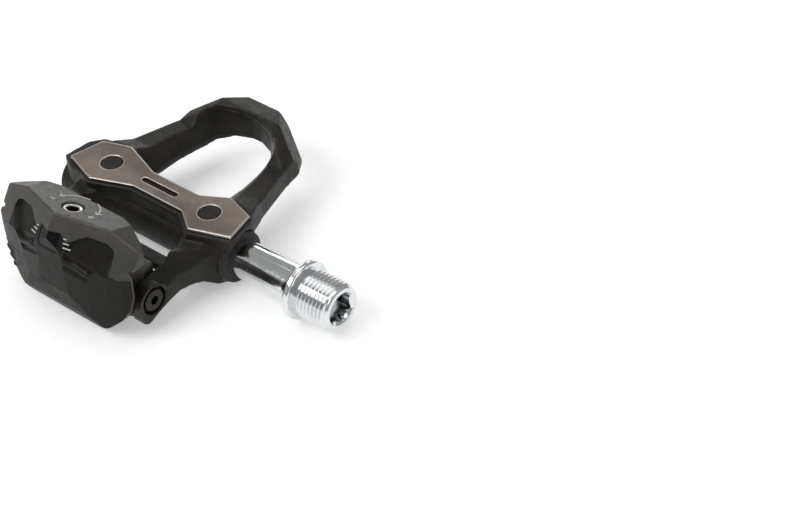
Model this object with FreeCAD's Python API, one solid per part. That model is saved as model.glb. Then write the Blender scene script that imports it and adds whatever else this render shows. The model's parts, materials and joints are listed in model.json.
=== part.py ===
"""Left clipless road pedal, in millimetres.

The model is laid out about the middle of the platform, on the spindle's axis: X runs along the
spindle towards the crank, Y towards the toe, Z up out of the platform.  When a piece is written it
is moved so that the origin is the crank shoulder, which is the face that seats on the crank arm.
"""
import FreeCAD, Part
import math
import os

Vector = FreeCAD.Vector
AXIS_X = Vector(1, 0, 0)
AXIS_Y = Vector(0, 1, 0)
AXIS_Z = Vector(0, 0, 1)

# ---- driving dimensions ------------------------------------------------------------------------
pedal_offset = 54.8          # middle of the platform to the crank shoulder
running_clearance = 0.04     # radial play of a shaft or pin that turns in its bore
side_clearance = 0.40        # play between faces that swing past each other
big = 200.0                  # reach of the cutting tools

# platform plate
plate_top = 10.6             # height of the walking face above the spindle axis
plate_thick = 1.0
plate_reach = 31.6           # middle to the outer corner of a lobe
plate_half_depth = 8.9       # middle to the front or rear edge of a lobe
plate_waist_half = 4.1       # half the width of the waist
plate_edge_round = 0.35
slot_length = 13.6
slot_width = 1.8
rivet_offset = 19.25         # middle to a rivet
rivet_radius = 3.3
rivet_sink = 0.15            # plate's face to the rivet's
rivet_floor = 0.55           # plastic between a rivet and the bearing bore
seat_margin = 0.75           # body standing out round the plate
seat_thick = 5.2             # depth of the lobes under the plate

# barrel and bearings
bearing_bore_radius = 6.5
barrel_waist_wall = 1.2
barrel_end_wall = 1.45
barrel_half = 29.6           # middle to the inboard end face
barrel_outboard = 33.0       # middle to the outboard end face
barrel_waist_half = 11.0
barrel_taper = 4.0           # length of the flare from the waist to the ends
needle_radius = 0.75
needle_spacing = 2.2         # along the pitch circle
needle_cup_length = 12.0
needle_cup_wall = 0.5
ball_radius = 1.19
ball_spacing = 3.73          # along the pitch circle
ball_race_width = 5.0
ball_journal_radius = 3.0
ball_recess = 6.2            # end of the barrel to the ball bearing's outboard face
seal_width = 2.2
seal_lip = 1.1               # how far the seal's outer lip stands out past the bore
band_width = 1.4             # steel band round the inboard end of the barrel
band_height = 0.75
band_inset = 1.2

# spindle
thread_radius = 7.14         # 9/16 inch, 20 turns to the inch
thread_length = 12.2
thread_chamfer = 1.1
flange_radius = 8.65
flange_thick = 2.1
shaft_radius_crank = 6.1
seal_thick = 1.05            # rubber between the shaft and the bore
socket_across = 8.0          # hexagon socket in the crank end
socket_depth = 9.0
spindle_thread_radius = 2.5  # M5 end thread for the lock nut
spindle_thread_length = 3.6
nut_across = 8.0
nut_thick = 2.9
cap_flange_thick = 1.3
cap_plug_length = 2.2
cap_ring_radius = 0.5        # half the thickness of the sealing ring

# toe loop
toe_reach = 44.4             # spindle axis to the toe
toe_top = 15.4
toe_bottom = 3.2
toe_half_front = 6.2         # half the straight edge at the toe
toe_half_wide = 20.4
arm_top = 8.2
arm_bottom = 2.0
loop_hole_floor = 4.0        # height at which the loop's hole is narrowest
lip_thick = 2.2              # toe lip over the cleat
lip_depth = 2.8

# rear arms and hinge
hinge_y = -29.1
hinge_z = 1.6
hinge_pin_radius = 2.5
ear_inner = 21.3
ear_thick = 4.5
ear_wall = 2.6               # plastic round the hinge pin
screw_recess_radius = 4.2
screw_recess_depth = 2.2
screw_head_radius = 3.3
screw_head_thick = 1.9
screw_shank_radius = 1.5
screw_shank_length = 5.0
screw_socket_across = 2.5
stop_pin_radius = 1.5
stop_pin_y = -17.0
stop_pin_z = hinge_z
bridge_front = -17.0         # the web between the arms, over the stop pin
bridge_rear = -21.4
bridge_top = 6.0
bridge_gap = 0.2             # stop pin to the web

# rear latch
latch_side_inset = 0.2       # latch's outer side to the ear's outer side
cheek_gap = 0.9              # latch's cheek to the ear's inner side
latch_top_tilt = 19.2        # degrees that the top face rises towards the rear
latch_rear = -42.2
latch_front = -24.3
latch_top_front = 20.6
latch_bottom = -8.8
latch_wall = 2.0
ear_top = 14.6
ear_headroom = 0.6           # from the ears up to the latch's overhanging corners
bush_wall = 1.1
bush_flange_width = 1.6
bush_flange_thick = 0.5
hub_wall = 3.3
pocket_depth = 1.3

# release tension
tension_screw_radius = 2.0
tension_head_radius = 3.0
tension_head_thick = 2.2
tension_head_sink = 0.4
tension_socket_across = 3.0
tension_screw_length = 13.4
tension_head_play = 0.1
tension_screw_y = -31.1
nut_half_width = 6.6
nut_half_depth = 2.6
nut_height = 4.6
nut_start = 5.6              # top face to the nut when the spring is slackest
window_half_width = 3.4
window_low = 15.6
window_high = 20.6
window_thick = 1.0
spring_wire_radius = 1.15
spring_coil_radius = 5.0
spring_turns = 4             # whole turns, besides the part turn between the legs
spring_pitch = 2.55
spring_inner_end = 5.2       # middle to the first turn
spring_leg_up = 10.2         # length of the leg that presses on the tension nut
spring_leg_forward = 14.5    # length of the leg that bears on the stop pin


# ---- small helpers -----------------------------------------------------------------------------
def polygon(points):
    """A closed face through points that all lie in one plane."""
    ring = [Vector(*p) for p in points]
    return Part.Face(Part.makePolygon(ring + [ring[0]]))


def prism_x(outline, low, high):
    """Extrude a (y, z) outline from x = low to x = high."""
    return polygon([(low, y, z) for y, z in outline]).extrude(Vector(high - low, 0, 0))


def prism_y(outline, low, high):
    """Extrude an (x, z) outline from y = low to y = high."""
    return polygon([(x, low, z) for x, z in outline]).extrude(Vector(0, high - low, 0))


def prism_z(outline, low, high):
    """Extrude an (x, y) outline from z = low to z = high."""
    return polygon([(x, y, low) for x, y in outline]).extrude(Vector(0, 0, high - low))


def block(x_low, x_high, y_low, y_high, z_low, z_high):
    """A box between the given planes."""
    corner = Vector(x_low, y_low, z_low)
    return Part.makeBox(x_high - x_low, y_high - y_low, z_high - z_low, corner)


def rod_x(radius, low, high, y=0.0, z=0.0):
    """A cylinder along X."""
    return Part.makeCylinder(radius, high - low, Vector(low, y, z), AXIS_X)


def ring_x(outer, inner, low, high, y=0.0, z=0.0):
    """A tube along X."""
    return rod_x(outer, low, high, y, z).cut(rod_x(inner, low, high, y, z))


def cone_x(radius_low, radius_high, low, high, y=0.0, z=0.0):
    """A truncated cone along X."""
    return Part.makeCone(radius_low, radius_high, high - low, Vector(low, y, z), AXIS_X)


def hexagon_x(across, low, high, y=0.0, z=0.0):
    """A hexagonal bar along X, by its size across the flats."""
    corner = across / math.sqrt(3.0)
    turns = [math.radians(60.0 * k + 30.0) for k in range(6)]
    return prism_x([(y + corner * math.cos(t), z + corner * math.sin(t)) for t in turns], low, high)


def mirror_x(shape):
    """The same piece on the other side of the middle plane."""
    return shape.mirror(Vector(0, 0, 0), AXIS_X)


def both_sides(shape):
    """A piece and its mirror image, joined."""
    return shape.fuse(mirror_x(shape))


def mirrored_outline(half):
    """Close a half outline, listed from the rear to the front at x > 0, with its mirror image."""
    return half + [(-x, y) for x, y in reversed(half) if x > 0.0]


def moved(shape, x=0.0, y=0.0, z=0.0):
    """A shifted copy."""
    copy = shape.copy()
    copy.translate(Vector(x, y, z))
    return copy


def cut_beyond(shape, normal, through):
    """Remove what lies beyond a plane, on the side that its normal points to."""
    out = Vector(*normal).normalize()
    tool = Part.makeBox(big, big, big, Vector(-big / 2, -big / 2, 0))
    tool.Placement = FreeCAD.Placement(Vector(*through), FreeCAD.Rotation(AXIS_Z, out))
    return shape.cut(tool)


def soften(shape, radius, chosen):
    """Round the edges for which chosen(edge) is true."""
    return shape.makeFillet(radius, [edge for edge in shape.Edges if chosen(edge)])


def write(name, shape):
    """Clean a piece, move it to the crank shoulder's frame and write it."""
    piece = shape.removeSplitter()
    piece.translate(Vector(-pedal_offset, 0, 0))
    piece.exportStep("parts/" + name + ".step")
    print(name, "solids", len(piece.Solids), "valid", piece.isValid(), "volume", round(piece.Volume, 1))


# ---- sizes that follow from others ---------------------------------------------------------------
barrel_waist_radius = bearing_bore_radius + barrel_waist_wall
barrel_end_radius = bearing_bore_radius + barrel_end_wall
needle_pitch_radius = bearing_bore_radius - needle_cup_wall - needle_radius
needle_journal_radius = needle_pitch_radius - needle_radius
needle_count = round(2 * math.pi * needle_pitch_radius / needle_spacing)
ball_pitch_radius = (bearing_bore_radius + ball_journal_radius) / 2
ball_count = round(2 * math.pi * ball_pitch_radius / ball_spacing)
shaft_radius_body = bearing_bore_radius - seal_thick
rivet_low = bearing_bore_radius + rivet_floor
rivet_stem_radius = 0.6 * rivet_radius
ear_outer = ear_inner + ear_thick
ear_radius = hinge_pin_radius + ear_wall
latch_half_width = ear_outer - latch_side_inset
latch_inner_half = ear_inner - cheek_gap              # half width of the part between the ears
bush_outer_radius = hinge_pin_radius + bush_wall
bush_flange_radius = bush_outer_radius + bush_flange_width
hub_radius = bush_outer_radius + hub_wall

# ---- shared places -------------------------------------------------------------------------------
seat_top = plate_top - plate_thick
tilt = math.radians(latch_top_tilt)
screw_up = Vector(0, math.sin(tilt), math.cos(tilt))      # out of the latch's top face
screw_turn = FreeCAD.Rotation(AXIS_Z, screw_up)


def latch_top_height(y):
    """Height of the latch's tilted top face at y."""
    return latch_top_front + math.tan(tilt) * (latch_front - y)


tension_origin = Vector(0, tension_screw_y, latch_top_height(tension_screw_y))


def along_screw(shape, depth):
    """Stand a piece that was made along Z on the tension screw's axis, below the top face."""
    shape.Placement = FreeCAD.Placement(tension_origin - screw_up * depth, screw_turn)
    return shape


# ---- platform plate ----------------------------------------------------------------------------
def dog_bone(grow, low, high):
    """The plate's two-lobed outline, grown all round, as a prism."""
    outline = [
        (-plate_reach + 0.2, -4.9), (-19.2, -plate_half_depth), (-6.6, -plate_waist_half),
        (12.4, -plate_waist_half), (19.4, -plate_half_depth), (plate_reach, -4.6),
        (29.3, 5.6), (19.6, plate_half_depth - 0.3), (11.4, plate_waist_half),
        (-6.6, plate_waist_half), (-20.1, plate_half_depth), (-plate_reach + 2.6, 6.0),
    ]
    sheet = polygon([(x, y, low) for x, y in outline])
    if grow > 0.0:
        sheet = Part.Face(sheet.makeOffset2D(grow, 0, False, False, True).OuterWire)
    return sheet.extrude(Vector(0, 0, high - low))


def platform_plate():
    plate = dog_bone(0.0, seat_top, plate_top)
    plate = soften(plate, plate_edge_round, lambda e: e.BoundBox.ZMin > plate_top - 0.01)
    straight = slot_length / 2 - slot_width / 2
    slot = block(-straight, straight, -slot_width / 2, slot_width / 2, seat_top - 1, plate_top + 1)
    for end in (-straight, straight):
        slot = slot.fuse(Part.makeCylinder(slot_width / 2, plate_thick + 2, Vector(end, 0, seat_top - 1)))
    plate = plate.cut(slot)
    for side in (-1, 1):
        below = Vector(side * rivet_offset, 0, seat_top - 1)
        plate = plate.cut(Part.makeCylinder(rivet_radius, plate_thick + 2, below))
    return plate


def rivet(side):
    """A flat-headed plug that holds the plate on the body."""
    seat = Vector(side * rivet_offset, 0, seat_top)
    foot = Vector(side * rivet_offset, 0, rivet_low)
    head = Part.makeCylinder(rivet_radius, plate_thick - rivet_sink, seat)
    stem = Part.makeCylinder(rivet_stem_radius, seat_top - rivet_low, foot)
    return head.fuse(stem)


# ---- body --------------------------------------------------------------------------------------
def barrel():
    """The bearing barrel: a slightly thinner waist between its two ends."""
    flare = barrel_waist_half + barrel_taper
    body = rod_x(barrel_waist_radius, -barrel_waist_half, barrel_waist_half)
    return body.fuse([
        cone_x(barrel_waist_radius, barrel_end_radius, barrel_waist_half, flare),
        rod_x(barrel_end_radius, flare, barrel_half),
        cone_x(barrel_end_radius, barrel_waist_radius, -flare, -barrel_waist_half),
        rod_x(barrel_end_radius, -barrel_outboard, -flare),
    ])


def toe_loop():
    """The loop that takes the front of the cleat, with its lip at the toe."""
    corner = 2.6
    rise_start = 28.6
    half = [
        (plate_reach - 3.4, 0.0), (plate_reach - 3.2, 7.4), (25.2, 14.3), (21.0, 29.0),
        (toe_half_wide, 35.0), (toe_half_wide - corner, toe_reach - 5.0), (toe_half_front + 2.5, toe_reach),
    ]
    side = [
        (-2.0, 4.4), (-2.0, seat_top), (9.0, seat_top), (14.0, arm_top), (rise_start, arm_top),
        (34.4, toe_top - 0.3), (37.4, toe_top), (toe_reach - 0.8, toe_top - 1.1),
        (toe_reach, toe_top - 2.6), (toe_reach, 8.0),
        (toe_reach - 3.0, toe_bottom), (30.0, arm_bottom), (12.0, arm_bottom), (4.0, 3.2),
    ]
    loop = prism_z(mirrored_outline(half), 0.0, big / 4).common(prism_x(side, -big / 4, big / 4))
    toe = loop.common(block(-big / 2, big / 2, rise_start, big / 2, -big / 2, big / 2))
    for hand in (-1, 1):
        front_corner = (hand * toe_half_front, toe_reach - 1.0, toe_top - 1.1)
        side_corner = (hand * toe_half_wide, rise_start, arm_top)
        toe = cut_beyond(toe, (hand * 0.617, 0.625, 0.477), front_corner)
        toe = cut_beyond(toe, (hand * 0.434, -0.235, 0.870), side_corner)
    arms = loop.common(block(-big / 2, big / 2, -big / 2, rise_start, -big / 2, big / 2))
    loop = arms.fuse(toe).removeSplitter()
    inner_low = [
        (8.6, 3.6), (12.9, 11.0), (13.1, 19.5), (12.2, 26.6), (10.8, 33.4), (7.2, 37.6),
        (1.6, toe_reach - 4.7),
    ]
    inner_high = [
        (13.5, 3.6), (24.9, 9.0), (22.6, 19.5), (19.6, 28.2), (13.8, 33.8), (8.4, 37.6),
        (1.9, toe_reach - 4.7),
    ]
    low_ring = mirrored_outline(inner_low)
    high_ring = mirrored_outline(inner_high)
    rise = toe_top - lip_thick
    wires = []
    for ring, height in ((low_ring, loop_hole_floor), (high_ring, rise)):
        corners = [Vector(x, y, height) for x, y in ring]
        wires.append(Part.makePolygon(corners + [corners[0]]))
    funnel = Part.makeLoft(wires, True, True)
    through = prism_z(low_ring, -1.0, loop_hole_floor + 0.01)
    lip = [
        (14.5, 3.6), (24.9, 9.0), (19.0, 28.2), (13.4, 32.6), (10.8, 34.4),
        (3.0, toe_reach - 4.9 - lip_depth),
    ]
    mouth = prism_z(mirrored_outline(lip), rise - 0.01, big / 4)
    return loop.cut(funnel.fuse([through, mouth]))


def rear_arm():
    """One arm from the barrel to its hinge ear."""
    side = [
        (2.0, 5.0), (-6.0, 6.9), (-11.0, 7.0), (-16.5, 8.3), (-23.6, 12.9), (-25.6, ear_top),
        (-32.2, ear_top), (-34.4, 12.6), (-35.0, 8.0), (-35.0, 2.0), (-34.6, -1.5), (-33.5, -4.2),
        (-32.3, -4.9), (-30.9, -4.7), (-27.8, -3.3),
        (-23.7, -2.1), (-19.4, -1.3), (-15.6, -1.6), (-11.8, -2.9), (-7.0, -6.4), (2.0, -7.4),
    ]
    plan = [
        (15.0, 2.0), (ear_outer + 0.6, 2.0), (ear_outer + 2.8, -4.6), (ear_outer + 1.0, -12.0),
        (ear_outer, -20.0), (ear_outer, -40.0), (ear_inner, -40.0), (ear_inner, -20.0),
        (ear_inner - 2.3, -12.5), (15.0, -7.0),
    ]
    arm = prism_x(side, 10.0, ear_outer + 6.0).common(prism_z(plan, -12.0, 20.0))
    arm = cut_beyond(arm, (0.66, -0.12, 0.74), (ear_outer + 0.8, -12.0, 4.6))
    ear = rod_x(ear_radius, ear_inner, ear_outer, hinge_y, hinge_z)
    return arm.fuse(ear)


def pedal_body():
    lobes = dog_bone(seat_margin, seat_top - seat_thick, seat_top)
    wing = [
        (-24.0, -8.0), (-29.0, -7.6), (-plate_reach - 2.4, -4.6), (-plate_reach - 1.6, 4.2),
        (-30.2, 8.0), (-24.0, 9.4),
    ]
    end_wing = prism_z(wing, seat_top - seat_thick, seat_top)
    web = block(-20.0, 20.0, -5.2, 4.4, 3.0, seat_top - 0.5)
    bridge_low = stop_pin_z + stop_pin_radius + bridge_gap
    bridge = block(-ear_inner - 0.7, ear_inner + 0.7, bridge_rear, bridge_front, bridge_low, bridge_top)
    body = barrel().fuse([lobes, end_wing, web, bridge, toe_loop(), rear_arm(), mirror_x(rear_arm())])
    body = body.removeSplitter()
    cuts = [rod_x(bearing_bore_radius, -barrel_outboard - 1, barrel_half + 1)]
    for side in (-1, 1):
        stem = Vector(side * rivet_offset, 0, rivet_low)
        cuts.append(Part.makeCylinder(rivet_stem_radius, plate_top - rivet_low, stem))
        outer, recess = sorted((side * (ear_outer + 1), side * (ear_outer - screw_recess_depth)))
        cuts.append(rod_x(screw_recess_radius, outer, recess, hinge_y, hinge_z))
    cuts.append(rod_x(hinge_pin_radius, -ear_outer - 1, ear_outer + 1, hinge_y, hinge_z))
    cuts.append(rod_x(stop_pin_radius, -ear_outer + 1.5, ear_outer - 1.5, stop_pin_y, stop_pin_z))
    seal_room = bearing_bore_radius + seal_lip + side_clearance
    cuts.append(rod_x(seal_room, barrel_half, barrel_half + 10))
    cuts.append(rod_x(barrel_end_radius + running_clearance, -barrel_outboard - 10, -barrel_outboard))
    cuts.append(band_ring())
    return body.cut(cuts)


def band_ring():
    """A steel band moulded into the inboard end of the barrel."""
    start = barrel_half - band_width - band_inset
    return ring_x(barrel_end_radius, barrel_end_radius - band_height, start, start + band_width)


# ---- spindle and bearings ----------------------------------------------------------------------
shaft_shoulder = barrel_half - seal_width - 0.2            # inboard end of the needle journal
needle_start = shaft_shoulder - 0.2 - needle_cup_length
race_outboard = -(barrel_outboard - ball_recess)
race_inboard = race_outboard + ball_race_width
race_middle = (race_outboard + race_inboard) / 2
ball_groove_radius = ball_radius + running_clearance


def spindle():
    """One turned and threaded shaft, from the crank thread to the lock-nut thread."""
    crank_end = pedal_offset + thread_length
    flange_back = pedal_offset - flange_thick
    pieces = [
        rod_x(thread_radius, pedal_offset, crank_end - thread_chamfer),
        cone_x(thread_radius, thread_radius - thread_chamfer, crank_end - thread_chamfer, crank_end),
        rod_x(flange_radius, flange_back, pedal_offset),
        cone_x(shaft_radius_crank, shaft_radius_crank + 0.9, flange_back - 1.2, flange_back),
        cone_x(shaft_radius_body, shaft_radius_crank, barrel_half + 1.4, flange_back),
        rod_x(shaft_radius_body, shaft_shoulder, barrel_half + 1.4),
        rod_x(needle_journal_radius, needle_start - 1.0, shaft_shoulder),
        rod_x(ball_journal_radius + 1.0, race_inboard, needle_start - 1.0),
        rod_x(ball_journal_radius, race_outboard, race_inboard),
        rod_x(spindle_thread_radius, race_outboard - spindle_thread_length, race_outboard),
    ]
    shaft = pieces[0].fuse(pieces[1:])
    at_rim = flange_radius - 0.01
    rim_length = math.pi * flange_radius
    shaft = shaft.removeSplitter()
    shaft = soften(shaft, 0.45, lambda e: e.BoundBox.YMax > at_rim and e.Length > rim_length)
    return shaft.cut(hexagon_x(socket_across, crank_end - socket_depth, crank_end + 1))


def needle_places():
    """Angles of the needle rollers."""
    return [2 * math.pi * k / needle_count for k in range(needle_count)]


def bearing_needles():
    rollers = []
    for turn in needle_places():
        y = needle_pitch_radius * math.cos(turn)
        z = needle_pitch_radius * math.sin(turn)
        low = needle_start + 1.8
        rollers.append(rod_x(needle_radius - 0.03, low, low + needle_cup_length - 3.6, y, z))
    return Part.makeCompound(rollers)


def needle_cage():
    """A slotted sleeve that spaces the needle rollers."""
    sleeve = ring_x(needle_pitch_radius + 0.5, needle_pitch_radius - 0.5, needle_start + 0.8,
                    needle_start + needle_cup_length - 0.8)
    slots = []
    for turn in needle_places():
        y = needle_pitch_radius * math.cos(turn)
        z = needle_pitch_radius * math.sin(turn)
        low = needle_start + 1.75
        slots.append(rod_x(needle_radius + 0.02, low, low + needle_cup_length - 3.5, y, z))
    return sleeve.cut(slots)


def needle_cup():
    """The drawn cup that the needles run in, with its two turned-in lips."""
    inner = bearing_bore_radius - needle_cup_wall
    end = needle_start + needle_cup_length
    cup = ring_x(bearing_bore_radius, inner, needle_start, end)
    lips = [ring_x(bearing_bore_radius, inner - 0.9, needle_start, needle_start + needle_cup_wall),
            ring_x(bearing_bore_radius, inner - 0.9, end - needle_cup_wall, end)]
    return cup.fuse(lips)


def ball_groove():
    """The ring that the balls sweep, used to cut both races."""
    return Part.makeTorus(ball_pitch_radius, ball_groove_radius, Vector(race_middle, 0, 0), AXIS_X)


def ball_places():
    """Centres of the balls."""
    turns = [2 * math.pi * k / ball_count for k in range(ball_count)]
    spots = [(ball_pitch_radius * math.cos(t), ball_pitch_radius * math.sin(t)) for t in turns]
    return [Vector(race_middle, y, z) for y, z in spots]


def outer_race():
    ring = ring_x(bearing_bore_radius, ball_pitch_radius + ball_radius / 2, race_outboard, race_inboard)
    return ring.cut(ball_groove())


def inner_race():
    ring = ring_x(ball_pitch_radius - ball_radius / 2, ball_journal_radius, race_outboard, race_inboard)
    return ring.cut(ball_groove())


def bearing_balls():
    return Part.makeCompound([Part.makeSphere(ball_radius, centre) for centre in ball_places()])


def ball_cage():
    """A pierced ring that spaces the balls."""
    half = ball_radius + 0.4
    ring = ring_x(ball_pitch_radius + 0.35, ball_pitch_radius - 0.35, race_middle - half, race_middle + half)
    return ring.cut([Part.makeSphere(ball_radius + 0.05, centre) for centre in ball_places()])


def shaft_seal():
    """The rubber lip seal at the inboard end of the barrel."""
    inner = shaft_radius_body + running_clearance
    seal = ring_x(bearing_bore_radius, inner, barrel_half - seal_width, barrel_half)
    return seal.fuse(ring_x(bearing_bore_radius + seal_lip, inner, barrel_half, barrel_half + 0.7))


def lock_nut():
    low = race_outboard - nut_thick
    bore = rod_x(spindle_thread_radius, low - 1, race_outboard + 1)
    return hexagon_x(nut_across, low, race_outboard).cut(bore)


def end_cap():
    """The plug that closes the outboard end of the barrel, with a groove for its sealing ring."""
    face = -barrel_outboard - cap_flange_thick
    disc = rod_x(barrel_end_radius - 0.2, face, -barrel_outboard)
    disc = soften(disc, 0.5, lambda e: e.BoundBox.XMax < face + 0.01)
    plug = rod_x(bearing_bore_radius - 0.02, -barrel_outboard, -barrel_outboard + cap_plug_length)
    middle = -barrel_outboard + cap_plug_length / 2
    groove_floor = bearing_bore_radius - 2 * cap_ring_radius
    groove = ring_x(bearing_bore_radius + 1, groove_floor, middle - cap_ring_radius, middle + cap_ring_radius)
    slot = block(face - 1, face + 0.7, -5.5, 5.5, -0.8, 0.8)
    return disc.fuse(plug).cut([groove, slot])


def cap_seal():
    centre = Vector(-barrel_outboard + cap_plug_length / 2, 0, 0)
    return Part.makeTorus(bearing_bore_radius - cap_ring_radius, cap_ring_radius, centre, AXIS_X)


# ---- hinge -------------------------------------------------------------------------------------
hinge_pin_half = ear_outer - screw_recess_depth


def hinge_pin():
    pin = rod_x(hinge_pin_radius, -hinge_pin_half, hinge_pin_half, hinge_y, hinge_z)
    hole = rod_x(screw_shank_radius, hinge_pin_half - screw_shank_length, hinge_pin_half, hinge_y, hinge_z)
    return pin.cut(both_sides(hole))


def hinge_screw():
    face = hinge_pin_half + screw_head_thick
    tip = hinge_pin_half - screw_shank_length + 0.3
    head = rod_x(screw_head_radius, hinge_pin_half, face, hinge_y, hinge_z)
    head = soften(head, 0.4, lambda e: e.BoundBox.XMin > face - 0.01)
    shank = rod_x(screw_shank_radius, tip, hinge_pin_half, hinge_y, hinge_z)
    key = hexagon_x(screw_socket_across, hinge_pin_half + 0.6, face + 1, hinge_y, hinge_z)
    return head.fuse(shank).cut(key)


def stop_pin():
    """The cross pin that the springs' forward legs push up against."""
    half = ear_outer - 1.5
    return rod_x(stop_pin_radius, -half, half, stop_pin_y, stop_pin_z)


cheek_low = latch_inner_half - 2.5      # inner face of the cheek that swings beside an ear


def hinge_bush():
    """A flanged bush pressed into one cheek of the latch."""
    bush = rod_x(bush_outer_radius, cheek_low, latch_inner_half, hinge_y, hinge_z)
    flange_end = latch_inner_half + bush_flange_thick
    bush = bush.fuse(rod_x(bush_flange_radius, latch_inner_half, flange_end, hinge_y, hinge_z))
    bore = hinge_pin_radius + running_clearance
    return bush.cut(rod_x(bore, cheek_low - 1, ear_outer, hinge_y, hinge_z))


# ---- springs -----------------------------------------------------------------------------------
def torsion_spring():
    """One coil with a leg up to the tension nut and a leg forward under the stop pin."""
    drop = spring_coil_radius - stop_pin_radius - spring_wire_radius - 0.02
    leg_rise = math.asin(drop / (stop_pin_y - hinge_y))
    part_turn = 0.25 + leg_rise / (2 * math.pi)
    turns = spring_turns + part_turn
    helix = Part.makeHelix(spring_pitch, spring_pitch * turns, spring_coil_radius)
    helix.rotate(Vector(0, 0, 0), AXIS_Y, 90.0)
    helix.rotate(Vector(0, 0, 0), AXIS_X, -90.0)
    helix.translate(Vector(spring_inner_end, hinge_y, hinge_z))
    path = Part.Wire(helix.Edges)
    first, last = path.Edges[0], path.Edges[-1]
    start, end = first.valueAt(first.FirstParameter), last.valueAt(last.LastParameter)
    heading = first.tangentAt(first.FirstParameter)
    section = Part.Wire(Part.makeCircle(spring_wire_radius, start, heading))
    coil = path.makePipeShell([section], True, True)
    forward = Vector(0, math.cos(leg_rise), math.sin(leg_rise))
    legs = [
        Part.makeSphere(spring_wire_radius, start),
        Part.makeCylinder(spring_wire_radius, spring_leg_up, start, AXIS_Z),
        Part.makeSphere(spring_wire_radius, end),
        Part.makeCylinder(spring_wire_radius, spring_leg_forward, end, forward),
    ]
    return coil.fuse(legs)


# ---- latch -------------------------------------------------------------------------------------
def latch_outer():
    """The latch's closed outer form: three outlines, then the tilted top and its facets."""
    front_top = (latch_front, latch_top_front)
    side = [
        front_top, (latch_rear - 0.2, latch_top_height(latch_rear - 0.2)), (latch_rear, 13.6),
        (latch_rear + 0.2, 2.0), (latch_rear + 1.3, -3.8), (latch_rear + 2.9, -7.2), (-37.2, latch_bottom),
        (-32.4, -8.4), (-29.8, -5.4), (-23.6, 5.6), (-23.4, 8.6), (-26.7, 12.0), (-27.0, 17.0),
        (latch_front + 0.3, latch_top_front - 2.3),
    ]
    rear = [
        (7.0, latch_bottom), (12.6, -7.9), (17.4, -5.6), (21.4, -2.0), (24.2, 2.2), (latch_half_width, 7.5),
        (latch_half_width, 30.0),
    ]
    plan = [
        (5.0, latch_rear + 0.1), (12.5, -40.8), (18.8, -39.1), (22.9, -37.7), (latch_half_width, -36.4),
        (latch_half_width, -20.0),
    ]
    form = prism_x(side, -30.0, 30.0)
    form = form.common(prism_y(mirrored_outline(rear), -50.0, -10.0))
    form = form.common(prism_z(mirrored_outline(plan), -20.0, 40.0))
    corner = [
        (11.0, latch_front + 0.4), (16.4, -25.8), (22.8, -28.6), (26.5, -31.2), (30.0, -31.2), (30.0, -15.0),
        (11.0, -15.0),
    ]
    wedge = prism_z(corner, 9.5, 40.0)
    form = form.cut([wedge, mirror_x(wedge)])
    side_corner = (16.4, -26.8, latch_top_height(-26.8))
    rear_crest = (0.0, -37.8, latch_top_height(-37.8))
    for hand in (-1, 1):
        form = cut_beyond(form, (hand * 0.331, 0.303, 0.895), (hand * side_corner[0],) + side_corner[1:])
        form = cut_beyond(form, (hand * 0.301, -0.785, 0.5425), rear_crest)
    return form


def latch_notch():
    """The room for one ear beside and below the latch's overhanging corner."""
    return block(latch_inner_half, 40.0, -35.6, 0.0, -30.0, ear_top + ear_headroom)


def latch_cavity(form):
    """The hollow for the springs and the tension nut, a wall's thickness inside the rear face."""
    floor = latch_bottom + latch_wall
    spring_roof = hinge_z + spring_coil_radius + spring_wire_radius + side_clearance
    inner = [
        (-28.9, spring_roof), (-28.9, 17.2), (-32.0, 18.8), (-37.4, 20.6), (latch_rear, 18.6),
        (latch_rear, 0.5), (-36.6, floor), (-15.0, floor), (-15.0, spring_roof),
    ]
    hollow = prism_x(inner, -cheek_low, cheek_low)
    beyond = block(-30, 30, -60, -30.0, -30, 40).cut(moved(form, y=latch_wall + pocket_depth))
    return hollow.cut(beyond)


def surface_pocket(form, outline, depth):
    """A sunk area of even depth in the latch's rear face, over an (x, z) outline."""
    return prism_y(outline, -60.0, -30.0).cut(moved(form, y=depth))


def rear_latch():
    form = latch_outer()
    pocket = [
        (5.6, 13.4), (5.6, 18.6), (10.6, 21.0), (16.2, 20.3), (18.6, 19.2), (19.2, 17.4),
        (13.4, 11.4), (8.6, 13.6),
    ]
    foot = [(5.0, 11.0), (12.4, 8.8), (13.4, 10.4), (5.8, 12.6)]
    cheek = rod_x(hub_radius, cheek_low, latch_inner_half, hinge_y, hinge_z)
    latch = form.fuse([cheek, mirror_x(cheek)])
    cuts = [latch_cavity(form), latch_notch(), mirror_x(latch_notch())]
    for outline, depth in ((pocket, pocket_depth), (foot, pocket_depth / 2)):
        sunk = surface_pocket(form, outline, depth)
        cuts += [sunk, mirror_x(sunk)]
    bore = rod_x(bush_outer_radius, cheek_low - 1, latch_inner_half + 1, hinge_y, hinge_z)
    cuts += [bore, mirror_x(bore)]
    window = block(-window_half_width, window_half_width, latch_rear - 5, -37.0, window_low, window_high)
    head_depth = tension_head_sink + tension_head_thick
    sink = along_screw(Part.makeCylinder(tension_head_radius + tension_head_play, head_depth + 5), head_depth)
    shank = along_screw(Part.makeCylinder(tension_screw_radius + running_clearance, 12), 12)
    cuts += [window, sink, shank]
    return latch.cut(cuts)


def tension_window():
    """The clear lens over the indicator, flush with the latch's rear face."""
    form = latch_outer()
    gap = 0.05
    half = window_half_width - gap
    frame = block(-half, half, latch_rear - 5, -37.0, window_low + gap, window_high - gap)
    return frame.common(moved(form, y=0.25)).cut(moved(form, y=0.25 + window_thick))


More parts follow.
